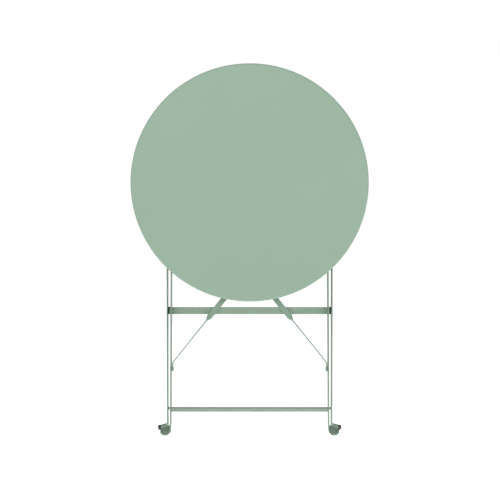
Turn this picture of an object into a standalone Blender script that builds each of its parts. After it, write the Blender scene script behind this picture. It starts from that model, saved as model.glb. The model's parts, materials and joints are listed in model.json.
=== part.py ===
"""Round folding bistro table in flat steel, standing folded on its four feet.

Metres, +Z up.  The tabletop hangs upright with its upper surface facing -Y; the legs stand behind it.
Two pairs of flat-bar legs cross like scissors at a rivet.  The inner pair carries the tabletop hinge
rod, the outer pair carries the catch rod that slides in the slotted rails under the tabletop, and a
forked stay pivots on the inner legs and hooks over the outer frame's crossbar when the table is open.
"""

import math

import bmesh
import bpy
from mathutils import Matrix, Vector

GAP = 0.0003                      # clearance left between pieces that bear on each other

# Tabletop pan
TOP_RADIUS = 0.300
TOP_DEPTH = 0.016
TOP_SHEET = 0.0015
TOP_EDGE_ROUND = 0.0035
HEM_LENGTH = 0.008
HEM_WIDTH = 0.003
TOP_SEGMENTS = 96

# Leg frames: flat bars seen edge-on from the front
BAR_WIDTH = 0.025
BAR_THICK = 0.0030
INNER_X = 0.1987
OUTER_X = 0.2094
CROSSING_HEIGHT = 0.4936
CROSSING_Y = 0.004293             # centres the folded table's depth on the origin
CROSSING_TO_HINGE = 0.302
INNER_LEAN = math.radians(4.0)    # inner legs lean back when folded
OUTER_LEAN = math.radians(1.5)    # outer legs lean forward when folded
INNER_SPREAD = math.radians(34.0)  # inner legs' lean when the table is open
HINGE_ABOVE_CENTRE = 0.160        # hinge rod to tabletop centre, folded
CATCH_DEPTH = 0.0252              # catch rod axis below the tabletop sheet

# Feet: the bar end is folded outwards about a line that lies level when the table is open
FOOT_BEND_RADIUS = 0.00375
FOOT_BEND_STEPS = 6
FOOT_ROUND_CENTRE = 0.0132        # centre of the rounded end, along the bar past the fold
GLIDE_THICK = 0.002
GLIDE_RIM = 0.0008                # rubber round the foot's edge and over its tip
GLIDE_CAP = 0.0045                # length of the cap over the foot's tip
GLIDE_START = 0.0030               # fold to the rubber's near edge
GLIDE_OPEN = 0.012                # cutters run this far past the rubber

# Crossbars
UPPER_BAR_HEIGHT = 0.3100
UPPER_BAR_WIDTH = 0.018
UPPER_BAR_BEND = 0.004
LOWER_BAR_HEIGHT = 0.0596
LOWER_BAR_WIDTH = 0.016
CROSSBAR_THICK = 0.004
UPPER_RIVET_BACK = 0.0082

# Rods, rivets and washers
ROD_RADIUS = 0.004
RIVET_SHANK = 0.0025
RIVET_HEAD = 0.0048
RIVET_DOME = 0.0024
TAB_HEAD_RADIUS = 0.0038
TAB_HEAD_DOME = 0.0012
FLAT_HEAD_RADIUS = 0.0060
FLAT_HEAD_DOME = 0.0009           # clears the rail web when folded
BORE_PLAY = 0.0004
CAP_RADIUS = 0.008
CAP_DOME = 0.0034
SPACER_RADIUS = 0.009
WASHER_THICK = 0.0012
STAY_WASHER_RADIUS = 0.006
DOME_STEPS = 3
MERGE = 1e-6

# Rails under the tabletop
RAIL_THICK = 0.003
RAIL_HALF_LENGTH = 0.2085
RAIL_RIVET_OFFSET = 0.185
RAIL_LIP = 0.0055                 # steel left below the slot
RAIL_CORNER = 0.010
RAIL_RIVET_SET_IN = 0.0095
EAR_SLOPE = 0.020                 # length of the slope down to the web from each side of the ear
HINGE_WASHER_THICK = 0.0008
SLOT_PLAY = 0.0006
EAR_RADIUS = 0.012
STRIP_WIDTH = 0.020
STRIP_THICK = 0.0027
STRIP_SET_IN = 0.004              # strip's middle inboard of the rail web
BRACE_OFFSET = 0.105
BRACE_HALF_LENGTH = 0.172
BRACE_HEIGHT = 0.008
BRACE_WIDTH = 0.022
BRACE_FLANGE = 0.0105
BRACE_RIVET_INSET = 0.012
BRACE_SHEET = 0.0015

# Forked stay
STAY_HEIGHT = 0.1645
STAY_LEAN = math.radians(4.0)     # stay against the inner legs, leaning back, folded
STAY_WIDTH = 0.0138
STAY_THICK = 0.0025
STAY_TAB = 0.0125                 # straight tab above the pivot
STAY_BEND = 0.010
STAY_ANGLE = math.radians(38.5)   # straps lean inwards from upright
STAY_RUN = 0.130
STAY_TWIST = 0.022
STAY_END_X = 0.020
HOOK_THICK = 0.003
HOOK_BASE_HALF = 0.031
HOOK_TONGUE_HALF = 0.013
HOOK_BEND = 0.003
HOOK_LIP = 0.024
HOOK_PLAY = 0.001
HOOK_RIVET_BACK = 0.012           # rivet to strap end
HOOK_BASE_BELOW = 0.030           # plate's lower edge below the strap ends
HOOK_FULL_WIDTH_BELOW = 0.004
HOOK_TAPER_ABOVE = 0.022

# Numbers of flat steps
ROUND_SEGMENTS = 20
RIVET_SEGMENTS = 12
BAR_END_STEPS = 12
SLOT_END_STEPS = 8
CORNER_STEPS = 4
CROSSBAR_BEND_STEPS = 6
STRAP_END_STEPS = 8
STRAP_BEND_STEPS = 5
TWIST_STEPS = 12
HOOK_BEND_STEPS = 6

SIDES = (("left", -1), ("right", 1))
RAIL_X = INNER_X - BAR_THICK / 2 - 2 * GAP - HINGE_WASHER_THICK - RAIL_THICK / 2
STRIP_X = RAIL_X - STRIP_SET_IN
RAIL_RIVET_X = RAIL_X - RAIL_RIVET_SET_IN
RAIL_RIVETS = (HINGE_ABOVE_CENTRE - RAIL_RIVET_OFFSET, HINGE_ABOVE_CENTRE + RAIL_RIVET_OFFSET)
BRACES = (("upper", BRACE_OFFSET), ("lower", -BRACE_OFFSET))
BRACE_RIVET_X = (BRACE_RIVET_INSET - BRACE_HALF_LENGTH, BRACE_HALF_LENGTH - BRACE_RIVET_INSET)
BRACE_RIVET_OFFSET = BRACE_WIDTH / 2 + BRACE_FLANGE / 2 + GAP
STAY_X = INNER_X - BAR_THICK / 2 - 2 * GAP - WASHER_THICK - STAY_THICK / 2
CUTTER_LENGTH = 2 * (OUTER_X + BAR_WIDTH)


def foot_drop(spread, lean):
    """Height of the folded frame's foot fold above the floor."""
    tilt = spread - lean
    reach = FOOT_ROUND_CENTRE * math.sin(spread) + BAR_WIDTH / 2 + GLIDE_RIM
    below = BAR_THICK / 2 + GAP + GLIDE_THICK
    return reach * math.sin(tilt) + below * math.cos(tilt)


def outer_spread_and_length(inner_length):
    """Outer legs' open lean and length, for feet that stand level folded and open."""
    spread = INNER_SPREAD
    for _ in range(20):
        length = (CROSSING_HEIGHT - foot_drop(spread, OUTER_LEAN)) / math.cos(OUTER_LEAN)
        spread = math.acos(inner_length * math.cos(INNER_SPREAD) / length)
    return spread, length


INNER_LENGTH = (CROSSING_HEIGHT - foot_drop(INNER_SPREAD, INNER_LEAN)) / math.cos(INNER_LEAN)
OUTER_SPREAD, OUTER_LENGTH = outer_spread_and_length(INNER_LENGTH)
# Catch rod and hinge rod stay the same distance apart in depth, folded and open.
CROSSING_TO_CATCH = (
    CROSSING_TO_HINGE * (math.cos(INNER_SPREAD) + math.sin(INNER_LEAN))
    / (math.cos(OUTER_SPREAD) - math.sin(OUTER_LEAN))
)
CROSSING = Vector((0, CROSSING_Y, CROSSING_HEIGHT))
HINGE = CROSSING + CROSSING_TO_HINGE * Vector((0, math.sin(INNER_LEAN), math.cos(INNER_LEAN)))
CATCH = CROSSING + CROSSING_TO_CATCH * Vector((0, -math.sin(OUTER_LEAN), math.cos(OUTER_LEAN)))
HINGE_DEPTH = CATCH_DEPTH + HINGE.y - CATCH.y
SLOT_START = HINGE.z - CATCH.z
SLOT_END = (
    CROSSING_TO_HINGE * math.sin(INNER_SPREAD) + CROSSING_TO_CATCH * math.sin(OUTER_SPREAD)
)
TOP_FRONT = -HINGE_DEPTH - TOP_SHEET          # tabletop's upper surface, from the hinge rod
UPPER_BAR_DROP = (CROSSING_HEIGHT - UPPER_BAR_HEIGHT) / math.cos(OUTER_LEAN)
OUTER_LOWER_DROP = (CROSSING_HEIGHT - LOWER_BAR_HEIGHT) / math.cos(OUTER_LEAN)
INNER_LOWER_DROP = (CROSSING_HEIGHT - LOWER_BAR_HEIGHT) / math.cos(INNER_LEAN)
STAY_DROP = (CROSSING_HEIGHT - STAY_HEIGHT) / math.cos(INNER_LEAN)
STAY_PIVOT = CROSSING - STAY_DROP * Vector((0, math.sin(INNER_LEAN), math.cos(INNER_LEAN)))


def clear_scene():
    for item in list(bpy.data.objects):
        bpy.data.objects.remove(item, do_unlink=True)


def make_material(name, colour, metallic, roughness):
    material = bpy.data.materials.new(name)
    material.use_nodes = True
    shader = material.node_tree.nodes["Principled BSDF"]
    shader.inputs["Base Color"].default_value = (*colour, 1.0)
    shader.inputs["Metallic"].default_value = metallic
    shader.inputs["Roughness"].default_value = roughness
    return material


def pivot(name, place, tilt):
    """Empty on a joint axis, turned about +X."""
    empty = bpy.data.objects.new(name, None)
    empty.matrix_world = Matrix.Translation(place) @ Matrix.Rotation(tilt, 4, "X")
    bpy.context.collection.objects.link(empty)
    return empty


def add_piece(name, build, material, parent, drop=0.0):
    """Turn a bmesh into one named piece, placed along its parent's axes."""
    mesh = bpy.data.meshes.new(name)
    bmesh.ops.recalc_face_normals(build, faces=build.faces)
    if build.calc_volume(signed=True) < 0:
        bmesh.ops.reverse_faces(build, faces=build.faces)
    build.to_mesh(mesh)
    build.free()
    mesh.materials.append(material)
    mesh.shade_smooth()
    mesh.set_sharp_from_angle(angle=math.radians(30))
    piece = bpy.data.objects.new(name, mesh)
    bpy.context.collection.objects.link(piece)
    piece.parent = parent
    piece.location = (0, 0, -drop)
    return piece


def add_cutter(name, bores, parent, drop=0.0):
    """Hidden cutter made of long cylinders, as (axis, first offset, height, radius)."""
    build = bmesh.new()
    for axis, offset, height, radius in bores:
        turn = Matrix.Rotation(math.pi / 2, 4, "Y" if axis == "X" else "X")
        place = Vector((0, offset, height)) if axis == "X" else Vector((offset, 0, height))
        bmesh.ops.create_cone(
            build, cap_ends=True, segments=ROUND_SEGMENTS, radius1=radius, radius2=radius,
            depth=CUTTER_LENGTH, matrix=Matrix.Translation(place) @ turn,
        )
    return hide_cutter(add_piece(name, build, STEEL, parent, drop))


def hide_cutter(cutter):
    cutter.hide_render = True
    cutter.display_type = "WIRE"
    return cutter


def drill(piece, cutter):
    bore = piece.modifiers.new("bores", "BOOLEAN")
    bore.operation = "DIFFERENCE"
    bore.solver = "EXACT"
    bore.object = cutter


def turned(profile, place, segments=ROUND_SEGMENTS, closed=False):
    """Solid turned about the X axis from (along, radius) points, then moved by a matrix."""
    build = bmesh.new()
    corners = [build.verts.new((along, radius, 0)) for along, radius in profile]
    if closed:
        corners.append(corners[0])
    edges = [build.edges.new(pair) for pair in zip(corners, corners[1:])]
    bmesh.ops.spin(
        build, geom=build.verts[:] + edges, cent=(0, 0, 0), axis=(1, 0, 0),
        angle=math.tau, steps=segments, use_merge=True,
    )
    bmesh.ops.remove_doubles(build, verts=build.verts, dist=MERGE)
    build.transform(place)
    return build


def along_x(y, z, side=1):
    """Axis along X through (y, z), mirrored for the left side."""
    return Matrix.Translation((0, y, z)) @ Matrix.Diagonal((side, 1, 1, 1))


def along_y(x, z):
    """Axis along Y through (x, z)."""
    return Matrix.Translation((x, 0, z)) @ Matrix.Rotation(math.pi / 2, 4, "Z")


def washer(low, high, hole, radius, place):
    profile = [(low, hole), (low, radius), (high, radius), (high, hole)]
    return turned(profile, place, closed=True)


def dome(base, direction, radius, height):
    """Profile points of a shallow domed head, from its rim to its crown."""
    sphere = (height * height + radius * radius) / (2 * height)
    sweep = math.asin(radius / sphere)
    points = []
    for step in range(DOME_STEPS):
        angle = sweep * (1 - step / DOME_STEPS)
        rise = sphere * (math.cos(angle) - 1) + height
        points.append((base + direction * rise, sphere * math.sin(angle)))
    points.append((base + direction * height, 0))
    return points


def rivet(low, high, shank, head, height, place):
    """Rivet with a dome outside each of the two faces it holds."""
    start = dome(low - GAP, -1, head, height)[::-1]
    finish = dome(high + GAP, 1, head, height)
    profile = start + [(low - GAP, shank), (high + GAP, shank)] + finish
    return turned(profile, place, RIVET_SEGMENTS)


def circle(centre, radius):
    return arc(centre, radius, 0, math.tau, ROUND_SEGMENTS)[:-1]


def arc(centre, radius, start, end, steps):
    points = []
    for step in range(steps + 1):
        angle = start + (end - start) * step / steps
        points.append((centre[0] + radius * math.cos(angle), centre[1] + radius * math.sin(angle)))
    return points


def thick_sheet(regions, place, low, high):
    """Solid sheet from flat regions of (outline, holes...); place maps (u, v, w) to space."""
    build = bmesh.new()
    for loops in regions:
        edges = []
        for loop in loops:
            corners = [build.verts.new((u, v, low)) for u, v in loop]
            edges += [build.edges.new(pair) for pair in zip(corners, corners[1:] + corners[:1])]
        bmesh.ops.triangle_fill(build, edges=edges, use_beauty=True)
    bmesh.ops.remove_doubles(build, verts=build.verts, dist=MERGE)
    raised = bmesh.ops.extrude_face_region(build, geom=build.faces[:])["geom"]
    lifted = [item for item in raised if isinstance(item, bmesh.types.BMVert)]
    bmesh.ops.translate(build, verts=lifted, vec=(0, 0, high - low))
    for vertex in build.verts:
        vertex.co = place(*vertex.co)
    return build


def swept_bar(stations, thickness):
    """Flat bar through stations of (centre, width direction, thickness direction, width)."""
    build = bmesh.new()
    rings = []
    for centre, across, through, width in stations:
        ring = []
        for wide, deep in ((-1, -1), (1, -1), (1, 1), (-1, 1)):
            corner = centre + across * (wide * width / 2) + through * (deep * thickness / 2)
            ring.append(build.verts.new(corner))
        rings.append(ring)
    for one, two in zip(rings, rings[1:]):
        for side in range(4):
            after = (side + 1) % 4
            build.faces.new((one[side], one[after], two[after], two[side]))
    build.faces.new(rings[0])
    build.faces.new(rings[-1])
    return build


def across_fold(across, past, length, spread, sign):
    """Point of the flat bar at a distance past the foot fold, as (across, along)."""
    return (across, -length + (sign * across * math.sin(spread) - past) / math.cos(spread))


def leg_shape(top, length, spread, sign):
    """Flat regions of a leg bar, its foot fold and its rounded foot, in (across, along)."""
    half_width = BAR_WIDTH / 2

    def line(past):
        return [across_fold(side * half_width, past, length, spread, sign) for side in (-1, 1)]

    fold = [
        FOOT_BEND_RADIUS * (math.pi / 2 * step / FOOT_BEND_STEPS - 1)
        for step in range(FOOT_BEND_STEPS + 1)
    ]
    crown = arc((0, top), half_width, 0, math.pi, BAR_END_STEPS)
    bends = [[line(one) + line(two)[::-1]] for one, two in zip(fold, fold[1:])]
    return [[crown + line(fold[0])], *bends, [foot_shape(half_width, 0, length, spread, sign)]]


def foot_shape(half_width, before, length, spread, sign):
    """Outline of the rounded foot, from a line before the end of its fold."""
    start = FOOT_BEND_RADIUS * (math.pi / 2 - 1) - before
    left, right = (
        across_fold(side * half_width, start, length, spread, sign) for side in (-1, 1)
    )
    heel = arc(
        (0, -length - FOOT_ROUND_CENTRE), half_width, math.pi, math.tau, BAR_END_STEPS,
    )
    return [left, *heel, right]


def leg_place(x, side, length, spread, sign, foot_only=False):
    """Map from the flat bar to the bar with its foot folded outwards.

    With foot_only, all of it lies in the folded foot's plane.
    """
    level = Vector((math.cos(spread), sign * math.sin(spread)))
    down = Vector((sign * math.sin(spread), -math.cos(spread)))

    def place(across, along, outward):
        offset = Vector((across, along + length))
        run = offset.dot(down) + FOOT_BEND_RADIUS
        if run <= 0 and not foot_only:
            return (side * (x + outward), across, along)
        turn = math.pi / 2 if foot_only else min(run / FOOT_BEND_RADIUS, math.pi / 2)
        beyond = run - FOOT_BEND_RADIUS * math.pi / 2
        if not foot_only:
            beyond = max(0.0, beyond)
        inside = FOOT_BEND_RADIUS - outward
        reach = x + FOOT_BEND_RADIUS - inside * math.cos(turn) + beyond
        fall = inside * math.sin(turn) - FOOT_BEND_RADIUS
        flat = level * offset.dot(level) + down * fall
        return (side * reach, flat.x, flat.y - length)

    return place


def add_leg(name, side, x, top, length, spread, sign, parent, cutter, drop=0.0):
    place = leg_place(x, side, length, spread, sign)
    regions = leg_shape(top, length, spread, sign)
    solid = thick_sheet(regions, place, -BAR_THICK / 2, BAR_THICK / 2)
    drill(add_piece(name, solid, PAINT, parent, drop), cutter)


def add_glide(name, side, x, length, spread, sign, parent, drop=0.0):
    """Rubber shoe on a foot: a sole, a rim round the foot's edge and a cap over its tip."""
    place = leg_place(x, side, length, spread, sign, foot_only=True)
    under = -BAR_THICK / 2 - GAP
    over = BAR_THICK / 2 + GAP
    start = FOOT_BEND_RADIUS * (math.pi / 2 - 1) - GLIDE_START
    outside = foot_shape(BAR_WIDTH / 2 + GLIDE_RIM, start, length, spread, sign)
    solid = thick_sheet([[outside]], place, under - GLIDE_THICK, over + GLIDE_RIM)
    glide = add_piece(name, solid, RUBBER, parent, drop)
    pocket = foot_shape(BAR_WIDTH / 2 + GAP, GLIDE_OPEN, length, spread, sign)
    cap_start = FOOT_ROUND_CENTRE * math.cos(spread) + BAR_WIDTH / 2 - GLIDE_CAP
    opening = [
        across_fold(across, past, length, spread, sign)
        for across, past in (
            (-BAR_WIDTH, -GLIDE_OPEN), (BAR_WIDTH, -GLIDE_OPEN),
            (BAR_WIDTH, cap_start), (-BAR_WIDTH, cap_start),
        )
    ]
    cuts = (("pocket", pocket, under, over), ("opening", opening, BAR_THICK / 2, GLIDE_OPEN))
    for label, outline, low, high in cuts:
        shape = thick_sheet([[outline]], place, low, high)
        drill(glide, hide_cutter(add_piece(f"{name}_{label}", shape, RUBBER, parent, drop)))


def bent_crossbar(x, height):
    """Centreline of the upper crossbar, with both ends bent back along +Y."""
    half = [(Vector((x, BAR_WIDTH / 2, height)), Vector((1, 0, 0)))]
    for step in range(CROSSBAR_BEND_STEPS + 1):
        angle = math.pi / 2 * step / CROSSBAR_BEND_STEPS
        outward = Vector((math.cos(angle), -math.sin(angle), 0))
        centre = Vector((x - UPPER_BAR_BEND, UPPER_BAR_BEND, height))
        half.append((centre + outward * UPPER_BAR_BEND, outward))
    up = Vector((0, 0, 1))
    right = [(centre, up, outward, UPPER_BAR_WIDTH) for centre, outward in half]
    flip = Matrix.Diagonal((-1, 1, 1))
    left = [(flip @ centre, up, flip @ outward, UPPER_BAR_WIDTH) for centre, outward in half[::-1]]
    return right + left


def add_upper_crossbar(cutter):
    face = OUTER_X - BAR_THICK / 2 - GAP - CROSSBAR_THICK / 2
    stations = bent_crossbar(face, -UPPER_BAR_DROP)
    bar = swept_bar(stations, CROSSBAR_THICK)
    drill(add_piece("outer_upper_crossbar", bar, PAINT, OUTER_PIVOT, CROSSING_TO_CATCH), cutter)


def add_lower_crossbar(name, x, height, parent, drop=0.0):
    """Flat bar welded between the legs of a frame."""
    reach = x - BAR_THICK / 2 - GAP
    back = Vector((0, 1, 0))
    up = Vector((0, 0, 1))
    stations = [(Vector((end, 0, -height)), back, up, LOWER_BAR_WIDTH) for end in (-reach, reach)]
    add_piece(name, swept_bar(stations, CROSSBAR_THICK), PAINT, parent, drop)


def tabletop():
    front = TOP_FRONT
    back = TOP_FRONT + TOP_DEPTH
    centre = -HINGE_ABOVE_CENTRE
    outer = TOP_RADIUS
    inner = TOP_RADIUS - TOP_SHEET
    hem = TOP_RADIUS - HEM_WIDTH - TOP_SHEET
    rolled = TOP_SHEET / 2
    profile = [(front, 0), (front, outer - TOP_EDGE_ROUND)]
    for along, reach in arc((0, 0), TOP_EDGE_ROUND, 0, math.pi / 2, 5)[1:]:
        profile.append((front + TOP_EDGE_ROUND - along, outer - TOP_EDGE_ROUND + reach))
    profile += [(back - rolled, outer), (back, outer - rolled)]
    profile += [(back, hem + rolled), (back - rolled, hem)]
    profile += [(back - HEM_LENGTH, hem), (back - HEM_LENGTH, inner)]
    inside = TOP_EDGE_ROUND - TOP_SHEET
    for along, reach in arc((0, 0), inside, math.pi / 2, 0, 2)[:-1]:
        profile.append((front + TOP_EDGE_ROUND - along, outer - TOP_EDGE_ROUND + reach))
    profile += [(front + TOP_SHEET, outer - TOP_EDGE_ROUND), (front + TOP_SHEET, 0)]
    add_piece("tabletop_pan", turned(profile, along_y(0, centre), TOP_SEGMENTS), PAINT, TOP_PIVOT)


def rail_outline():
    """Rail web in (distance down the tabletop from the hinge, depth below the sheet)."""
    top = 2 * GAP + STRIP_THICK
    bottom = CATCH_DEPTH + ROD_RADIUS + SLOT_PLAY + RAIL_LIP
    start = HINGE_ABOVE_CENTRE - RAIL_HALF_LENGTH
    end = HINGE_ABOVE_CENTRE + RAIL_HALF_LENGTH
    corner = RAIL_CORNER
    slope = EAR_SLOPE + EAR_RADIUS
    outline = [(start + corner / 2, top), (end - corner / 2, top), (end, top + corner / 2)]
    outline += arc((end - corner, bottom - corner), corner, 0, math.pi / 2, CORNER_STEPS)
    outline.append((slope, bottom))
    outline += arc((0, HINGE_DEPTH), EAR_RADIUS, 0, math.pi, BAR_END_STEPS)
    outline.append((-slope, bottom))
    outline += arc((start + corner, bottom - corner), corner, math.pi / 2, math.pi, CORNER_STEPS)
    outline.append((start, top + corner / 2))
    half = ROD_RADIUS + SLOT_PLAY
    slot = arc(
        (SLOT_START, CATCH_DEPTH), half, math.pi / 2, 3 * math.pi / 2, SLOT_END_STEPS,
    )
    slot += arc((SLOT_END, CATCH_DEPTH), half, -math.pi / 2, math.pi / 2, SLOT_END_STEPS)
    return [outline, slot, circle((0, HINGE_DEPTH), ROD_RADIUS + BORE_PLAY)]


def add_rails():
    under = -HINGE_DEPTH
    for label, side in SIDES:
        web = thick_sheet(
            [rail_outline()],
            lambda down, depth, through, side=side: (side * (RAIL_X + through), under + depth, -down),
            -RAIL_THICK / 2, RAIL_THICK / 2,
        )
        add_piece(f"slide_rail_{label}", web, PAINT, TOP_PIVOT)
        half = RAIL_HALF_LENGTH - 0.002
        low = HINGE_ABOVE_CENTRE - half
        high = HINGE_ABOVE_CENTRE + half
        corners = [(-STRIP_WIDTH / 2, low), (STRIP_WIDTH / 2, low),
                   (STRIP_WIDTH / 2, high), (-STRIP_WIDTH / 2, high)]
        holes = [circle((RAIL_RIVET_X - STRIP_X, down), RIVET_SHANK + BORE_PLAY) for down in RAIL_RIVETS]
        strip = thick_sheet(
            [[corners, *holes]],
            lambda wide, down, through, side=side: (side * (STRIP_X + wide), under + through, -down),
            GAP, GAP + STRIP_THICK,
        )
        add_piece(f"rail_strip_{label}", strip, PAINT, TOP_PIVOT)


def brace_section():
    """Hat section in (across, depth below the sheet)."""
    out = BRACE_WIDTH / 2 + BRACE_FLANGE
    side = BRACE_WIDTH / 2
    low = GAP
    high = BRACE_HEIGHT
    sheet = BRACE_SHEET
    right = [(out, low), (out, low + sheet), (side, low + sheet), (side, high)]
    inner = [(side - sheet, high - sheet), (side - sheet, low)]
    left = [(-a, b) for a, b in right[::-1]]
    inner_left = [(-a, b) for a, b in inner[::-1]]
    return right + left + inner_left + inner


def add_braces():
    under = -HINGE_DEPTH
    for label, offset in BRACES:
        middle = -HINGE_ABOVE_CENTRE + offset
        cutter = add_cutter(
            f"brace_bores_{label}",
            [("Y", x, middle + BRACE_RIVET_OFFSET, RIVET_SHANK + BORE_PLAY) for x in BRACE_RIVET_X],
            TOP_PIVOT,
        )
        solid = thick_sheet(
            [[brace_section()]],
            lambda across, depth, along, middle=middle: (along, under + depth, middle + across),
            -BRACE_HALF_LENGTH, BRACE_HALF_LENGTH,
        )
        drill(add_piece(f"tabletop_brace_{label}", solid, PAINT, TOP_PIVOT), cutter)


def add_underside_rivet(name, x, z, seat):
    """Rivet that holds a strip or a brace to the tabletop sheet; seat is its depth."""
    under = -HINGE_DEPTH
    profile = [(under + GAP, 0), (under + GAP, RIVET_SHANK), (under + seat + GAP, RIVET_SHANK)]
    profile += dome(under + seat + GAP, 1, RIVET_HEAD, RIVET_DOME)
    add_piece(name, turned(profile, along_y(x, z), RIVET_SEGMENTS), STEEL, TOP_PIVOT)


def add_underside_rivets():
    for label, side in SIDES:
        for place, down in zip(("upper", "lower"), RAIL_RIVETS):
            name = f"strip_rivet_{place}_{label}"
            add_underside_rivet(name, side * RAIL_RIVET_X, -down, GAP + STRIP_THICK)
    for place, offset in BRACES:
        for label, x in zip(("left", "right"), BRACE_RIVET_X):
            height = -HINGE_ABOVE_CENTRE + offset + BRACE_RIVET_OFFSET
            add_underside_rivet(f"brace_rivet_{place}_{label}", x, height, GAP + BRACE_SHEET)


def add_hinge_rod():
    """Rod through both ears and both inner legs, with a washer and a domed cap each side."""
    height = CROSSING_TO_HINGE
    reach = INNER_X + BAR_THICK / 2
    profile = [(-reach, 0), (-reach, ROD_RADIUS), (reach, ROD_RADIUS), (reach, 0)]
    add_piece("hinge_rod", turned(profile, along_x(0, height)), STEEL, INNER_PIVOT)
    for label, side in SIDES:
        place = along_x(0, height, side)
        cap = [(reach + GAP, 0)] + dome(reach + GAP, 1, CAP_RADIUS, CAP_DOME)
        add_piece(f"hinge_rod_cap_{label}", turned(cap, place), STEEL, INNER_PIVOT)
        low = RAIL_X + RAIL_THICK / 2 + GAP
        high = INNER_X - BAR_THICK / 2 - GAP
        ring = washer(low, high, ROD_RADIUS + GAP, SPACER_RADIUS, place)
        add_piece(f"hinge_washer_{label}", ring, STEEL, INNER_PIVOT)


def add_catch_rod():
    """Rod carried by the outer legs' upper ends, captive in the rail slots."""
    reach = OUTER_X + BAR_THICK / 2 + GAP
    profile = [(-reach, 0), (-reach, ROD_RADIUS), (reach, ROD_RADIUS), (reach, 0)]
    add_piece("catch_rod", turned(profile, along_x(0, 0)), STEEL, CATCH_PIVOT)
    for label, side in SIDES:
        place = along_x(0, 0, side)
        cap = [(reach + GAP, 0)] + dome(reach + GAP, 1, CAP_RADIUS, CAP_DOME)
        add_piece(f"catch_rod_cap_{label}", turned(cap, place), STEEL, CATCH_PIVOT)
        low = INNER_X + BAR_THICK / 2 + GAP
        high = OUTER_X - BAR_THICK / 2 - GAP
        collar = washer(low, high, ROD_RADIUS + GAP, CAP_RADIUS, place)
        add_piece(f"catch_rod_collar_{label}", collar, STEEL, CATCH_PIVOT)


def add_crossing():
    """Rivet through the inner leg, spacer between the frames, and the outer leg's own rivet."""
    inner_face = INNER_X + BAR_THICK / 2
    outer_face = OUTER_X - BAR_THICK / 2
    for label, side in SIDES:
        place = along_x(0, 0, side)
        base = INNER_X - BAR_THICK / 2 - GAP
        head = dome(base, -1, FLAT_HEAD_RADIUS, FLAT_HEAD_DOME)[::-1]
        end = outer_face - GAP
        profile = head + [(base, RIVET_SHANK), (end, RIVET_SHANK), (end, 0)]
        add_piece(f"crossing_rivet_{label}", turned(profile, place), STEEL, INNER_PIVOT)
        ring = washer(inner_face + GAP, end, RIVET_SHANK + GAP, SPACER_RADIUS, place)
        add_piece(f"crossing_spacer_{label}", ring, RUBBER, INNER_PIVOT)
        finish = OUTER_X + BAR_THICK / 2 + GAP
        profile = [(outer_face, 0), (outer_face, RIVET_SHANK), (finish, RIVET_SHANK)]
        profile += dome(finish, 1, SPACER_RADIUS, CAP_DOME)
        name = f"crossing_head_{label}"
        add_piece(name, turned(profile, place), STEEL, OUTER_PIVOT, CROSSING_TO_CATCH)


def add_upper_rivets():
    """Rivets through the upper crossbar's bent ends and the outer legs."""
    low = OUTER_X - BAR_THICK / 2 - GAP - CROSSBAR_THICK
    high = OUTER_X + BAR_THICK / 2
    for label, side in SIDES:
        place = along_x(UPPER_RIVET_BACK, -UPPER_BAR_DROP, side)
        solid = rivet(low, high, RIVET_SHANK, TAB_HEAD_RADIUS, TAB_HEAD_DOME, place)
        add_piece(f"outer_upper_rivet_{label}", solid, STEEL, OUTER_PIVOT, CROSSING_TO_CATCH)


def stay_stations(side):
    """Stations of one strap: round tab on the leg, bend, edge-on run, quarter twist, flat run."""
    tangent_end = Vector((-math.sin(STAY_ANGLE), 0, math.cos(STAY_ANGLE)))
    inward_end = Vector((-math.cos(STAY_ANGLE), 0, -math.sin(STAY_ANGLE)))
    edge_on = Vector((0, 1, 0))
    tip = STAY_WIDTH / 2
    raw = []
    for step in range(1, STRAP_END_STEPS + 1):
        angle = math.pi / 2 * step / STRAP_END_STEPS
        point = Vector((STAY_X, 0, -tip * math.cos(angle)))
        raw.append((point, edge_on, Vector((-1, 0, 0)), STAY_WIDTH * math.sin(angle)))
    bend_centre = Vector((STAY_X - STAY_BEND, 0, STAY_TAB))
    for step in range(STRAP_BEND_STEPS + 1):
        angle = STAY_ANGLE * step / STRAP_BEND_STEPS
        outward = Vector((math.cos(angle), 0, math.sin(angle)))
        raw.append((bend_centre + outward * STAY_BEND, edge_on, -outward, STAY_WIDTH))
    start = raw[-1][0]
    for step in range(TWIST_STEPS + 1):
        share = step / TWIST_STEPS
        angle = math.pi / 2 * (3 * share ** 2 - 2 * share ** 3)
        point = start + tangent_end * (STAY_RUN + STAY_TWIST * share)
        across = edge_on * math.cos(angle) + inward_end * math.sin(angle)
        through = inward_end * math.cos(angle) - edge_on * math.sin(angle)
        raw.append((point, across, through, STAY_WIDTH))
    last = raw[-1]
    reach = (last[0].x - STAY_END_X) / math.sin(STAY_ANGLE)
    raw.append((last[0] + tangent_end * reach, last[1], last[2], STAY_WIDTH))
    flip = Matrix.Diagonal((side, 1, 1))
    return [(flip @ point, flip @ across, flip @ through, width) for point, across, through, width in raw]


def hook_geometry():
    """Open-pose place of the crossbar in the stay's own plane: (rearward, along, slope)."""
    opening = INNER_SPREAD + OUTER_SPREAD
    back = UPPER_BAR_DROP * math.sin(opening)
    up = STAY_DROP - UPPER_BAR_DROP * math.cos(opening)
    distance = math.hypot(back, up)
    bearing = math.atan2(back, up)
    rear = -STAY_THICK / 2 - GAP + HOOK_PLAY + UPPER_BAR_WIDTH / 2
    along = math.sqrt(distance ** 2 - rear ** 2)
    turn = bearing - math.asin(rear / distance)
    slope = opening + turn - math.pi / 2
    return rear, along, slope, turn


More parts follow.
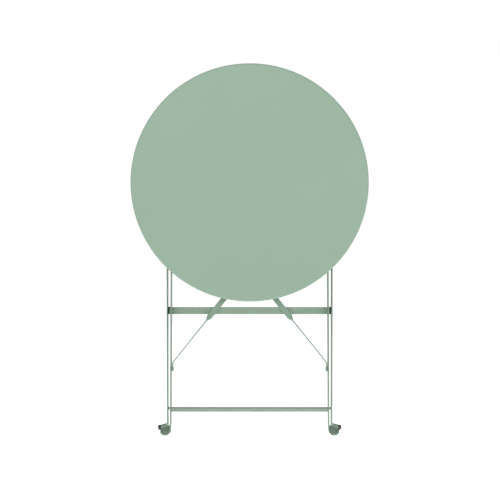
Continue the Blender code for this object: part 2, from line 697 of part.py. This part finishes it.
def add_hook():
    """Plate that joins both straps, with a tongue and a lip that hooks over the crossbar."""
    rear, along, slope, _ = hook_geometry()
    middle = -STAY_THICK / 2 - GAP - HOOK_THICK / 2
    strap_end = stay_stations(1)[-1][0].z
    over = along + (middle - rear) * math.tan(slope)
    over += CROSSBAR_THICK / 2 + HOOK_PLAY + HOOK_THICK / 2
    wide = Vector((1, 0, 0))
    front = Vector((0, -1, 0))
    base = strap_end - HOOK_BASE_BELOW
    stations = [
        (Vector((0, middle, base)), wide, front, 2 * HOOK_BASE_HALF),
        (Vector((0, middle, strap_end - HOOK_FULL_WIDTH_BELOW)), wide, front, 2 * HOOK_BASE_HALF),
        (Vector((0, middle, strap_end + HOOK_TAPER_ABOVE)), wide, front, 2 * HOOK_TONGUE_HALF),
    ]
    bend_centre = Vector((0, middle + HOOK_BEND, over - HOOK_BEND))
    sweep = math.pi / 2 - slope
    for step in range(HOOK_BEND_STEPS + 1):
        angle = sweep * step / HOOK_BEND_STEPS
        outward = Vector((0, -math.cos(angle), math.sin(angle)))
        stations.append((bend_centre + outward * HOOK_BEND, wide, outward, 2 * HOOK_TONGUE_HALF))
    heading = Vector((0, math.cos(slope), math.sin(slope)))
    last = stations[-1]
    stations.append((last[0] + heading * HOOK_LIP, wide, last[2], 2 * HOOK_TONGUE_HALF))
    cutter = add_cutter("hook_bores", hook_bores(), STAY_PARENT)
    drill(add_piece("stay_hook_plate", swept_bar(stations, HOOK_THICK), PAINT, STAY_PARENT), cutter)
    for (label, side), (_, x, z, _) in zip(SIDES, hook_bores()):
        solid = rivet(
            middle - HOOK_THICK / 2, STAY_THICK / 2, RIVET_SHANK, TAB_HEAD_RADIUS, TAB_HEAD_DOME,
            along_y(x, z),
        )
        add_piece(f"stay_hook_rivet_{label}", solid, STEEL, STAY_PARENT)


def hook_bores():
    """Bores through the hook plate and each strap's upper end."""
    end = stay_stations(1)[-1][0]
    x = end.x + HOOK_RIVET_BACK * math.sin(STAY_ANGLE)
    z = end.z - HOOK_RIVET_BACK * math.cos(STAY_ANGLE)
    return [("Y", side * x, z, RIVET_SHANK + BORE_PLAY) for _, side in SIDES]


def add_stay():
    bores = [("X", 0, 0, RIVET_SHANK + BORE_PLAY), *hook_bores()]
    cutter = add_cutter("stay_bores", bores, STAY_PARENT)
    for label, side in SIDES:
        solid = swept_bar(stay_stations(side), STAY_THICK)
        drill(add_piece(f"stay_strap_{label}", solid, PAINT, STAY_PARENT), cutter)
        place = along_x(0, -STAY_DROP, side)
        low = STAY_X - STAY_THICK / 2
        high = INNER_X + BAR_THICK / 2
        pin = rivet(low, high, RIVET_SHANK, TAB_HEAD_RADIUS, TAB_HEAD_DOME, place)
        add_piece(f"stay_pivot_{label}", pin, STEEL, INNER_PIVOT)
        start = STAY_X + STAY_THICK / 2 + GAP
        ring = washer(start, start + WASHER_THICK, RIVET_SHANK + GAP, STAY_WASHER_RADIUS, place)
        add_piece(f"stay_washer_{label}", ring, STEEL, INNER_PIVOT)
    add_hook()


def add_inner_frame():
    small = RIVET_SHANK + BORE_PLAY
    bores = add_cutter(
        "inner_bores",
        [("X", 0, CROSSING_TO_HINGE, ROD_RADIUS + BORE_PLAY), ("X", 0, 0, small),
         ("X", 0, -STAY_DROP, small)],
        INNER_PIVOT,
    )
    for label, side in SIDES:
        foot = (INNER_LENGTH, INNER_SPREAD, 1, INNER_PIVOT)
        add_leg(f"inner_leg_{label}", side, INNER_X, CROSSING_TO_HINGE, *foot, bores)
        add_glide(f"inner_foot_glide_{label}", side, INNER_X, *foot)
    add_lower_crossbar("inner_lower_crossbar", INNER_X, INNER_LOWER_DROP, INNER_PIVOT)


def add_outer_frame():
    small = RIVET_SHANK + BORE_PLAY
    drop = CROSSING_TO_CATCH
    bores = add_cutter(
        "outer_bores",
        [("X", 0, CROSSING_TO_CATCH, ROD_RADIUS + BORE_PLAY), ("X", 0, 0, small),
         ("X", UPPER_RIVET_BACK, -UPPER_BAR_DROP, small)],
        OUTER_PIVOT, drop,
    )
    for label, side in SIDES:
        foot = (OUTER_LENGTH, OUTER_SPREAD, -1, OUTER_PIVOT)
        add_leg(f"outer_leg_{label}", side, OUTER_X, CROSSING_TO_CATCH, *foot, bores, drop)
        add_glide(f"outer_foot_glide_{label}", side, OUTER_X, *foot, drop)
    add_upper_crossbar(bores)
    add_upper_rivets()
    add_lower_crossbar("outer_lower_crossbar", OUTER_X, OUTER_LOWER_DROP, OUTER_PIVOT, drop)


clear_scene()
PAINT = make_material("sage_powder_coat", (0.33, 0.46, 0.36), 0.0, 0.5)
STEEL = make_material("painted_fastener", (0.27, 0.38, 0.30), 0.2, 0.45)
RUBBER = make_material("black_rubber", (0.02, 0.02, 0.02), 0.0, 0.8)
INNER_PIVOT = pivot("inner_frame_pivot", CROSSING, -INNER_LEAN)
TOP_PIVOT = pivot("tabletop_pivot", HINGE, 0.0)
CATCH_PIVOT = pivot("catch_rod_pivot", CATCH, 0.0)
OUTER_PIVOT = pivot("outer_frame_pivot", CATCH, OUTER_LEAN)
STAY_PARENT = pivot("stay_pivot", STAY_PIVOT, -INNER_LEAN - STAY_LEAN)

tabletop()
add_rails()
add_braces()
add_underside_rivets()
add_hinge_rod()
add_catch_rod()
add_crossing()
add_inner_frame()
add_outer_frame()
add_stay()
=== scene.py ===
"""Looks for a folded round bistro table: sage powder coat on steel, in a pale studio.

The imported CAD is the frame.  Sheet and bar pieces get rounded edges, turned pieces get finer
profiles, the tabletop pan gets its rolled rim, the rails get their welds, and every surface
gets a procedural material.  Lengths are in metres.
"""

import json
import math

import bmesh
import bpy
from mathutils import Matrix, Vector


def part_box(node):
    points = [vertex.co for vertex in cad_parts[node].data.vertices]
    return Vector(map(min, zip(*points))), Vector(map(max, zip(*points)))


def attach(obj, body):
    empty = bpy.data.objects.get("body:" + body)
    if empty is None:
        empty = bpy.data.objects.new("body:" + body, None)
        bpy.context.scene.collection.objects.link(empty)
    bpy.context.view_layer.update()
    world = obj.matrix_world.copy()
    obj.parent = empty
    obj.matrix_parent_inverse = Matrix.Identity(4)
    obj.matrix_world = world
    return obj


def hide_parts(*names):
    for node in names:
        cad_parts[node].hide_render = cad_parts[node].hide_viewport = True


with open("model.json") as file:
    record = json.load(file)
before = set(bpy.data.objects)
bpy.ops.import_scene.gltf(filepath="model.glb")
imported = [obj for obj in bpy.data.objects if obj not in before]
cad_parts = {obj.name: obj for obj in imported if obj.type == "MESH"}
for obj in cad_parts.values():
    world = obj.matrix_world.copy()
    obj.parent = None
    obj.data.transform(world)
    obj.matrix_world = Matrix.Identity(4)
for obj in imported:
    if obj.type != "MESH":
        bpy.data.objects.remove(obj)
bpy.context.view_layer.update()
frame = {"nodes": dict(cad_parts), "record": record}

BODY = {
    node: body
    for body, members in frame["record"]["behaviour"]["bodies"].items()
    for node in members
}
SLOT = {part["node"]: part["material_slot"] for part in frame["record"]["subparts"]}
SIDES = (("left", -1), ("right", 1))

# Finish colours, linear
SAGE = (0.302, 0.430, 0.326)
SAGE_PALE = (0.40, 0.51, 0.42)
# painted shade laid into the coat's hollow corners
SAGE_CORNER_SHADE = (0.15, 0.22, 0.165)
STEEL_WORN = (0.36, 0.38, 0.36)
RUBBER = (0.016, 0.019, 0.018)
RUBBER_DUST = (0.060, 0.062, 0.058)
# painted shade: darkened sage on the shoes inside the black tip, in the tone of shaded sage steel
SHOE_SHADED_SAGE = (0.17, 0.235, 0.19)
SHOE_TIP = 0.2265                 # the shoes are black from here out, painted shaded sage inside it
SHOE_TIP_BLUR = 0.0006
FLOOR = (0.86, 0.86, 0.86)
WHITE = (1.0, 1.0, 1.0)
COOL_WHITE = (0.96, 0.98, 1.0)

# Grain of the finishes: noise scales, and heights of the bumps they make
DRIFT_SCALE = 4.0
FLECK_SCALE = 1600.0
CHIP_SCALE = 55.0
SHEEN_SCALE = 38.0
PEEL_SCALE = 750.0
PEEL_HEIGHT = 0.00004
RIPPLE_SCALE = 140.0
RIPPLE_HEIGHT = 0.00006
COAT_SPECULAR = 0.42
DUST_SCALE = 180.0
RUBBER_SHEEN_SCALE = 120.0
PIT_SCALE = 1500.0
PIT_HEIGHT = 0.00008
MOTTLE_SCALE = 1.5
FLOOR_GLOW = 0.90

# Rounded edges
BAR_ROUND = 0.0007
SHEET_ROUND = 0.0005
STRIP_ROUND = 0.0004
BRACE_ROUND = 0.0003
GLIDE_ROUND = 0.0003
WASHER_ROUND = 0.0003
MERGE = 1e-6
FLAT_ANGLE = math.radians(0.6)    # faces closer to one plane than this are joined
SHARP_ANGLE = math.radians(40)    # edges sharper than this are rounded

# Turned pieces
RIVET_SHANK = 0.0025
RIVET_BORE = 0.0028
ROD_RADIUS = 0.004
ROD_BORE = 0.0043
FLAT_HEAD = 0.0012
LOW_HEAD = 0.0024
CAP_DOME = 0.0034
CROSSING_LIP = 0.0009
ROUND_STEPS = 48
RIVET_STEPS = 32
LARGE_RADIUS = 0.007              # pieces thicker or longer than these get the finer steps
LONG_PIECE = 0.1

# Tabletop pan
PAN_SHEET = 0.0015
PAN_EDGE = 0.0035
PAN_CURL = 0.00225
PAN_HEM = 0.008
PAN_RINGS = 20
PAN_STEPS = 240
WAVE_HEIGHT = 0.00012
WAVE_FADE = 0.05                  # the waviness dies out over this width inside the rim

# Rail welds
WELD_LENGTH = 0.022
WELD_LEG = 0.0026
WELD_STEP = 0.0012
WELD_ARC_STEPS = 5
WELD_RIPPLE = 2.6                 # steps from one ripple to the next
WELD_LIFT = 0.0001
WELD_PLACES = (0.06, 0.35, 0.64, 0.92)    # shares of the strip's length

# Studio
FLOOR_RADIUS = 30.0
WORLD_LIGHT = 0.20
WORLD_SEEN = 1.0
CAMERA_HEIGHT = 0.4647
CAMERA_SIDE = 0.0009
CAMERA_BACK = 2.7677
CAMERA_LENS = 78.31
SENSOR = 36.0

SMOOTH_ANGLE = math.radians(32)


# ---------------------------------------------------------------- materials


def add_node(tree, kind, **inputs):
    """Add a node and set or link its inputs by name, with _ for a space."""
    node = tree.nodes.new(kind)
    for name, value in inputs.items():
        socket = node.inputs[name.replace("_", " ")]
        if isinstance(value, bpy.types.NodeSocket):
            tree.links.new(value, socket)
        else:
            socket.default_value = value
    return node


def noise(tree, coords, scale, detail=2.0, roughness=0.5):
    return add_node(
        tree, "ShaderNodeTexNoise", Vector=coords, Scale=scale, Detail=detail, Roughness=roughness
    ).outputs["Fac"]


def remap(tree, value, low, high, to_low, to_high):
    node = add_node(tree, "ShaderNodeMapRange", Value=value, From_Min=low, From_Max=high)
    node.inputs["To Min"].default_value = to_low
    node.inputs["To Max"].default_value = to_high
    return node.outputs["Result"]


def times(tree, one, two):
    node = tree.nodes.new("ShaderNodeMath")
    node.operation = "MULTIPLY"
    for socket, value in zip(node.inputs, (one, two)):
        if isinstance(value, bpy.types.NodeSocket):
            tree.links.new(value, socket)
        else:
            socket.default_value = value
    return node.outputs[0]


def mixed(tree, factor, one, two):
    """Colour between two colours, each a tuple or a socket."""
    node = tree.nodes.new("ShaderNodeMix")
    node.data_type = "RGBA"
    tree.links.new(factor, node.inputs[0])
    for socket, value in ((node.inputs[6], one), (node.inputs[7], two)):
        if isinstance(value, bpy.types.NodeSocket):
            tree.links.new(value, socket)
        else:
            socket.default_value = (*value, 1.0)
    return node.outputs[2]


def tinted(colour, scale, shift=0.0):
    """Colour made lighter or darker, and a little bluer for a positive shift."""
    red, green, blue = colour
    return (red * scale * (1 - shift), green * scale, blue * scale * (1 + shift))


def start_material(name):
    material = bpy.data.materials.new(name)
    material.use_nodes = True
    tree = material.node_tree
    shader = tree.nodes["Principled BSDF"]
    coords = tree.nodes.new("ShaderNodeTexCoord").outputs["Object"]
    return material, tree, shader, coords


def powder_coat(name, colour, worn, edge_wear, grain=1.0):
    """Satin powder coat: faint drift in tone, orange peel, worn edges, and painted shade that
    darkens its hollow corners.
    """
    material, tree, shader, coords = start_material(name)
    drift = remap(tree, noise(tree, coords, DRIFT_SCALE, 3.0), 0.35, 0.65, 0.0, 1.0)
    tone = mixed(tree, drift, tinted(colour, 0.985, -0.012), tinted(colour, 1.015, 0.012))
    fleck = remap(tree, noise(tree, coords, FLECK_SCALE, 2.0), 0.55, 0.75, 0.0, 0.22)
    tone = mixed(tree, fleck, tone, tinted(colour, 1.12))
    point = tree.nodes.new("ShaderNodeNewGeometry").outputs["Pointiness"]
    patchy = remap(tree, noise(tree, coords, CHIP_SCALE, 4.0, 0.6), 0.42, 0.62, 0.15, 1.0)
    edge = times(tree, remap(tree, point, 0.53, 0.62, 0.0, edge_wear), patchy)
    tone = mixed(tree, edge, tone, worn)
    # painted shade: hollow corners darkened towards a deep sage
    corner = remap(tree, point, 0.47, 0.40, 0.0, 0.35)
    tone = mixed(tree, corner, tone, SAGE_CORNER_SHADE)
    tree.links.new(tone, shader.inputs["Base Color"])
    sheen = remap(tree, noise(tree, coords, SHEEN_SCALE, 4.0, 0.6), 0.3, 0.7, 0.40, 0.52)
    tree.links.new(sheen, shader.inputs["Roughness"])
    shader.inputs["Specular IOR Level"].default_value = COAT_SPECULAR
    peel = noise(tree, coords, PEEL_SCALE * grain, 3.0, 0.55)
    ripple = noise(tree, coords, RIPPLE_SCALE * grain, 2.0, 0.5)
    first = add_node(
        tree, "ShaderNodeBump", Height=ripple, Strength=0.5, Distance=RIPPLE_HEIGHT
    )
    second = add_node(
        tree, "ShaderNodeBump", Height=peel, Strength=0.6, Distance=PEEL_HEIGHT,
        Normal=first.outputs["Normal"],
    )
    tree.links.new(second.outputs["Normal"], shader.inputs["Normal"])
    return material


def from_middle(tree, coords):
    """Distance out from the table's middle plane."""
    split = add_node(tree, "ShaderNodeSeparateXYZ", Vector=coords)
    node = tree.nodes.new("ShaderNodeMath")
    node.operation = "ABSOLUTE"
    tree.links.new(split.outputs["X"], node.inputs[0])
    return node.outputs[0]


def rubber(name):
    """Moulded rubber: matt, faintly pitted and black over the tip; inside it, painted shade in a
    darkened sage.
    """
    material, tree, shader, coords = start_material(name)
    dust = remap(tree, noise(tree, coords, DUST_SCALE, 4.0, 0.65), 0.48, 0.72, 0.0, 0.7)
    black = mixed(tree, dust, RUBBER, RUBBER_DUST)
    near = SHOE_TIP - SHOE_TIP_BLUR
    far = SHOE_TIP + SHOE_TIP_BLUR
    tip = remap(tree, from_middle(tree, coords), near, far, 0.0, 1.0)
    # painted shade: darkened sage inside the tip, black rubber beyond it
    tone = mixed(tree, tip, SHOE_SHADED_SAGE, black)
    tree.links.new(tone, shader.inputs["Base Color"])
    sheen = remap(tree, noise(tree, coords, RUBBER_SHEEN_SCALE, 3.0), 0.3, 0.7, 0.62, 0.82)
    tree.links.new(sheen, shader.inputs["Roughness"])
    pits = noise(tree, coords, PIT_SCALE, 3.0, 0.6)
    bump = add_node(tree, "ShaderNodeBump", Height=pits, Strength=0.6, Distance=PIT_HEIGHT)
    tree.links.new(bump.outputs["Normal"], shader.inputs["Normal"])
    return material


def floor_material():
    """Pale studio floor, lifted a little so that it meets the backdrop without a line."""
    material, tree, shader, coords = start_material("studio_floor")
    mottle = noise(tree, coords, MOTTLE_SCALE, 4.0)
    tone = mixed(tree, mottle, tinted(FLOOR, 0.99), tinted(FLOOR, 1.01))
    tree.links.new(tone, shader.inputs["Base Color"])
    shader.inputs["Roughness"].default_value = 0.9
    shader.inputs["Specular IOR Level"].default_value = 0.1
    shader.inputs["Emission Color"].default_value = (*WHITE, 1.0)
    shader.inputs["Emission Strength"].default_value = FLOOR_GLOW
    return material


# painted shade: the legs, crossbars and straps get darker copies of the one sage coat, standing in
# for the shade on them
BAR_SHADE_COAT = powder_coat("bar_painted_shade_coat", tinted(SAGE, 0.83), tinted(SAGE, 1.04), 0.3)
LEG_SHADE_COAT = powder_coat("leg_painted_shade_coat", tinted(SAGE, 0.70), tinted(SAGE, 0.88), 0.3)
FINISH = {
    "sage_powder_coat": powder_coat("sage_coat", SAGE, SAGE_PALE, 0.45),
    "painted_fastener": powder_coat("fastener_coat", tinted(SAGE, 0.92), STEEL_WORN, 0.6, 1.4),
    "black_rubber": rubber("foot_rubber"),
}


# ---------------------------------------------------------------- pieces


def add_piece(name, build, node_or_body, slot):
    """A mesh piece in the frame, riding on a body, in the finish of a record slot; legs, crossbars
    and straps instead take darker copies of the sage coat, as painted shade.
    """
    mesh = bpy.data.meshes.new(name)
    build.to_mesh(mesh)
    build.free()
    # painted shade: legs, crossbars and straps take the darker copies of the sage coat
    if "_leg_" in name:
        mesh.materials.append(LEG_SHADE_COAT)
    elif "crossbar" in name or "strap" in name:
        mesh.materials.append(BAR_SHADE_COAT)
    else:
        mesh.materials.append(FINISH[slot])
    mesh.shade_smooth()
    mesh.set_sharp_from_angle(angle=SMOOTH_ANGLE)
    piece = bpy.data.objects.new(name, mesh)
    bpy.context.scene.collection.objects.link(piece)
    weighted = piece.modifiers.new("flat_faces", "WEIGHTED_NORMAL")
    weighted.keep_sharp = True
    weighted.weight = 80
    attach(piece, BODY.get(node_or_body, node_or_body))
    return piece


def stand_for(node, build):
    """A finer piece in place of a CAD node."""
    piece = add_piece(f"{node}_finished", build, node, SLOT[node])
    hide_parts(node)
    return piece


def outward(build):
    bmesh.ops.recalc_face_normals(build, faces=build.faces)
    if build.calc_volume(signed=True) < 0:
        bmesh.ops.reverse_faces(build, faces=build.faces)


def rounded(node, width, steps=3):
    """CAD bar or sheet with its sharp edges rounded off."""
    build = bmesh.new()
    build.from_mesh(frame["nodes"][node].data)
    bmesh.ops.remove_doubles(build, verts=build.verts, dist=MERGE)
    bmesh.ops.dissolve_limit(
        build, angle_limit=FLAT_ANGLE, verts=build.verts, edges=build.edges,
        use_dissolve_boundaries=False,
    )
    sharp = [edge for edge in build.edges if edge.calc_face_angle(0.0) > SHARP_ANGLE]
    bmesh.ops.bevel(
        build, geom=sharp, offset=width, offset_type="OFFSET", segments=steps, profile=0.5,
        affect="EDGES", clamp_overlap=True,
    )
    outward(build)
    stand_for(node, build)


def spun(profile, place, steps, closed=False):
    """Solid turned about X from (along, radius) points, then placed by a matrix."""
    build = bmesh.new()
    corners = [build.verts.new((along, radius, 0)) for along, radius in profile]
    if closed:
        corners.append(corners[0])
    edges = [build.edges.new(pair) for pair in zip(corners, corners[1:])]
    bmesh.ops.spin(
        build, geom=build.verts[:] + edges, cent=(0, 0, 0), axis=(1, 0, 0),
        angle=math.tau, steps=steps, use_merge=True,
    )
    bmesh.ops.remove_doubles(build, verts=build.verts, dist=MERGE)
    build.transform(place)
    outward(build)
    return build


def head(base, direction, radius, height, steps=9):
    """Profile of a domed rivet head with a short upright rim."""
    rim = 0.16 * height
    points = [(base, radius - 0.12 * height), (base + direction * rim * 0.5, radius)]
    for step in range(steps + 1):
        angle = math.pi / 2 * step / steps
        rise = rim + (height - rim) * math.sin(angle)
        points.append((base + direction * rise, radius * math.cos(angle) ** 0.9))
    points[-1] = (base + direction * height, 0.0)
    return points


def turned(node, axis, shank=0.0, near=0.0, far=0.0, hole=0.0):
    """Finer turned piece from its CAD box: heads at its near and far ends, or a holed ring.

    The near end is the one nearer the table's middle for X, or its front for Y.
    """
    low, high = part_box(node)
    centre = (low + high) / 2
    size = high - low
    if axis == "X":
        side = -1 if centre.x < -0.01 else 1
        length, radius = size.x, size.z / 2
        start = Vector((centre.x - side * length / 2, centre.y, centre.z))
        place = Matrix.Translation(start) @ Matrix.Diagonal((side, 1, 1, 1))
    else:
        length, radius = size.y, size.z / 2
        start = Vector((centre.x, low.y, centre.z))
        place = Matrix.Translation(start) @ Matrix.Rotation(math.pi / 2, 4, "Z")
    steps = ROUND_STEPS if radius > LARGE_RADIUS or length > LONG_PIECE else RIVET_STEPS
    if hole:
        soft = min(WASHER_ROUND, length / 4)
        profile = [
            (0, hole), (0, radius - soft), (soft, radius), (length - soft, radius),
            (length, radius - soft), (length, hole),
        ]
        stand_for(node, spun(profile, place, steps, closed=True))
        return
    profile = [(0, 0)]
    if near:
        profile = head(near, -1, radius, near)[::-1]
        profile.append((near, shank))
    elif shank:
        profile.append((0, shank))
    if far and shank:
        profile.append((length - far, shank))
    if far:
        profile += head(length - far, 1, radius, far)
    elif shank:
        profile += [(length, shank), (length, 0)]
    stand_for(node, spun(profile, place, steps))


def arc(centre, radius, start, end, steps):
    return [
        (
            centre[0] + radius * math.cos(start + (end - start) * step / steps),
            centre[1] + radius * math.sin(start + (end - start) * step / steps),
        )
        for step in range(steps + 1)
    ]


def tabletop():
    """Pressed steel pan: flat sheet with a soft rolled edge, a low wall and a curled hem."""
    low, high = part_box("tabletop_pan")
    centre = (low + high) / 2
    reach = (high.z - low.z) / 2
    depth = high.y - low.y
    flat = reach - PAN_EDGE
    inner = reach - PAN_SHEET
    rolled = reach - PAN_CURL
    radii = [flat * ring / PAN_RINGS for ring in range(PAN_RINGS + 1)]
    profile = [(0, radius) for radius in radii]
    profile += arc((PAN_EDGE, flat), PAN_EDGE, math.pi, math.pi / 2, 10)[1:]
    profile += arc((depth - PAN_CURL, rolled), PAN_CURL, math.pi / 2, -math.pi / 2, 12)
    profile += [(depth - PAN_HEM, reach - 2 * PAN_CURL), (depth - PAN_HEM, inner)]
    profile += arc((PAN_EDGE, flat), PAN_EDGE - PAN_SHEET, math.pi / 2, math.pi, 6)
    profile += [(PAN_SHEET, radius) for radius in radii[-2::-1]]
    place = Matrix.Translation((0, low.y, centre.z)) @ Matrix.Rotation(math.pi / 2, 4, "Z")
    build = spun(profile, place, PAN_STEPS)
    for vertex in build.verts:
        across = vertex.co.x - centre.x
        up = vertex.co.z - centre.z
        rim = min(1.0, (flat - math.hypot(across, up)) / WAVE_FADE)
        if rim > 0:
            wave = math.sin(9.1 * across + 4.0) * math.cos(7.3 * up + 1.0)
            wave += 0.5 * math.sin(14.0 * across - 11.0 * up)
            vertex.co.y += WAVE_HEIGHT * rim * (1.5 + wave)
    stand_for("tabletop_pan", build)


def weld_bead(name, start, heading, length, sides, size, body):
    """Rippled fillet weld along an inside corner; sides are the two faces' outward normals."""
    build = bmesh.new()
    steps = max(8, round(length / WELD_STEP))
    around = WELD_ARC_STEPS
    rows = []
    for step in range(steps + 1):
        share = step / steps
        swell = min(1.0, 8 * share, 8 * (1 - share)) ** 0.5 if 0 < share < 1 else 0.15
        ripple = 1.0 + 0.10 * math.sin(math.tau * share * steps / WELD_RIPPLE)
        leg = size * swell * ripple
        middle = start + heading * (length * share)
        row = [build.verts.new(middle)]
        for turn in range(around + 1):
            angle = math.pi / 2 * turn / around
            bulge = 1 - 0.24 * math.sin(2 * angle)
            offset = (sides[0] * math.cos(angle) + sides[1] * math.sin(angle)) * leg * bulge
            row.append(build.verts.new(middle + offset))
        rows.append(row)
    count = around + 2
    for one, two in zip(rows, rows[1:]):
        for place in range(count):
            after = (place + 1) % count
            build.faces.new((one[place], one[after], two[after], two[place]))
    build.faces.new(rows[0])
    build.faces.new(rows[-1])
    outward(build)
    add_piece(name, build, body, "sage_powder_coat")


def rail_welds():
    """Short fillet welds that hold each slotted rail to its strip, inside and outside."""
    for label, side in SIDES:
        web_low, web_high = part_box(f"slide_rail_{label}")
        strip_low, strip_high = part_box(f"rail_strip_{label}")
        seat = strip_high.y + WELD_LIFT
        span = strip_high.z - strip_low.z
        inner_face = web_high.x if side < 0 else web_low.x
        outer_face = web_low.x if side < 0 else web_high.x
        for face, away, where in ((inner_face, -side, "inner"), (outer_face, side, "outer")):
            for number, share in enumerate(WELD_PLACES, 1):
                low = strip_low.z + span * share - WELD_LENGTH / 2
                weld_bead(
                    f"rail_weld_{where}_{number}_{label}", Vector((face, seat, low)),
                    Vector((0, 0, 1)), WELD_LENGTH,
                    (Vector((away, 0, 0)), Vector((0, 1, 0))), WELD_LEG, "tabletop",
                )


tabletop()
for label, side in SIDES:
    for frame_name in ("inner", "outer"):
        rounded(f"{frame_name}_leg_{label}", BAR_ROUND)
        rounded(f"{frame_name}_foot_glide_{label}", GLIDE_ROUND)
    turned(f"outer_upper_rivet_{label}", "X", RIVET_SHANK, FLAT_HEAD, FLAT_HEAD)
    rounded(f"slide_rail_{label}", SHEET_ROUND)
    rounded(f"rail_strip_{label}", STRIP_ROUND)
    rounded(f"stay_strap_{label}", SHEET_ROUND)
    turned(f"stay_hook_rivet_{label}", "Y", RIVET_SHANK, FLAT_HEAD, FLAT_HEAD)
    turned(f"stay_pivot_{label}", "X", RIVET_SHANK, FLAT_HEAD, FLAT_HEAD)
    turned(f"stay_washer_{label}", "X", hole=RIVET_BORE)
    for height in ("lower", "upper"):
        turned(f"brace_rivet_{height}_{label}", "Y", RIVET_SHANK, far=LOW_HEAD)
        turned(f"strip_rivet_{height}_{label}", "Y", RIVET_SHANK, far=LOW_HEAD)
    turned(f"catch_rod_cap_{label}", "X", far=CAP_DOME)
    turned(f"hinge_rod_cap_{label}", "X", far=CAP_DOME)
    turned(f"catch_rod_collar_{label}", "X", hole=ROD_BORE)
    turned(f"hinge_washer_{label}", "X", hole=ROD_BORE)
    turned(f"crossing_head_{label}", "X", RIVET_SHANK, far=CAP_DOME)
    turned(f"crossing_rivet_{label}", "X", RIVET_SHANK, near=CROSSING_LIP)
    turned(f"crossing_spacer_{label}", "X", hole=RIVET_BORE)
for rod in ("catch_rod", "hinge_rod"):
    turned(rod, "X", ROD_RADIUS)
for bar in ("inner_lower_crossbar", "outer_lower_crossbar", "outer_upper_crossbar"):
    rounded(bar, BAR_ROUND)
for height in ("lower", "upper"):
    rounded(f"tabletop_brace_{height}", BRACE_ROUND, 2)
rounded("stay_hook_plate", SHEET_ROUND)
rail_welds()


# ---------------------------------------------------------------- studio


def add_floor():
    build = bmesh.new()
    bmesh.ops.create_circle(build, cap_ends=True, segments=96, radius=FLOOR_RADIUS)
    mesh = bpy.data.meshes.new("studio_floor")
    build.to_mesh(mesh)
    build.free()
    mesh.materials.append(floor_material())
    floor = bpy.data.objects.new("studio_floor", mesh)
    bpy.context.scene.collection.objects.link(floor)


def add_softbox(name, place, target, size, power, colour=WHITE, spread=180):
    light = bpy.data.lights.new(name, "AREA")
    light.shape = "RECTANGLE"
    light.size, light.size_y = size
    light.energy = power
    light.color = colour
    light.spread = math.radians(spread)
    box = bpy.data.objects.new(name, light)
    box.location = place
    box.rotation_euler = (Vector(target) - Vector(place)).to_track_quat("-Z", "Y").to_euler()
    bpy.context.scene.collection.objects.link(box)


def add_backdrop():
    """White surroundings: full white to the camera, softer as light."""
    world = bpy.data.worlds.new("studio_backdrop")
    world.use_nodes = True
    tree = world.node_tree
    surface = tree.nodes["Background"]
    surface.inputs["Color"].default_value = (*WHITE, 1.0)
    seen = tree.nodes.new("ShaderNodeLightPath").outputs["Is Camera Ray"]
    strength = remap(tree, seen, 0.0, 1.0, WORLD_LIGHT, WORLD_SEEN)
    tree.links.new(strength, surface.inputs["Strength"])
    bpy.context.scene.world = world


def add_camera():
    lens = bpy.data.cameras.new("front_camera")
    lens.lens = CAMERA_LENS
    lens.sensor_width = SENSOR
    camera = bpy.data.objects.new("front_camera", lens)
    camera.location = (CAMERA_SIDE, -CAMERA_BACK, CAMERA_HEIGHT)
    camera.rotation_euler = (math.pi / 2, 0, 0)
    bpy.context.scene.collection.objects.link(camera)
    bpy.context.scene.camera = camera


add_floor()
add_backdrop()
add_softbox("front_softbox", (-0.9, -3.3, 2.0), (0, 0, 0.5), (2.2, 2.2), 32)
add_softbox("fill_softbox", (1.4, -3.0, 1.0), (0, 0, 0.5), (1.6, 1.6), 13.5, COOL_WHITE)
add_softbox("top_softbox", (0.0, -0.3, 3.2), (0, 0, 0), (3.0, 3.0), 8)
add_softbox("back_softbox", (0.8, 2.8, 2.0), (0, 0, 0.5), (2.0, 2.0), 14)
add_softbox("low_softbox", (0.0, -1.6, 0.14), (0, 0, 0.02), (1.6, 0.16), 0.3, spread=20)
add_camera()
bpy.context.scene.view_settings.view_transform = "Standard"
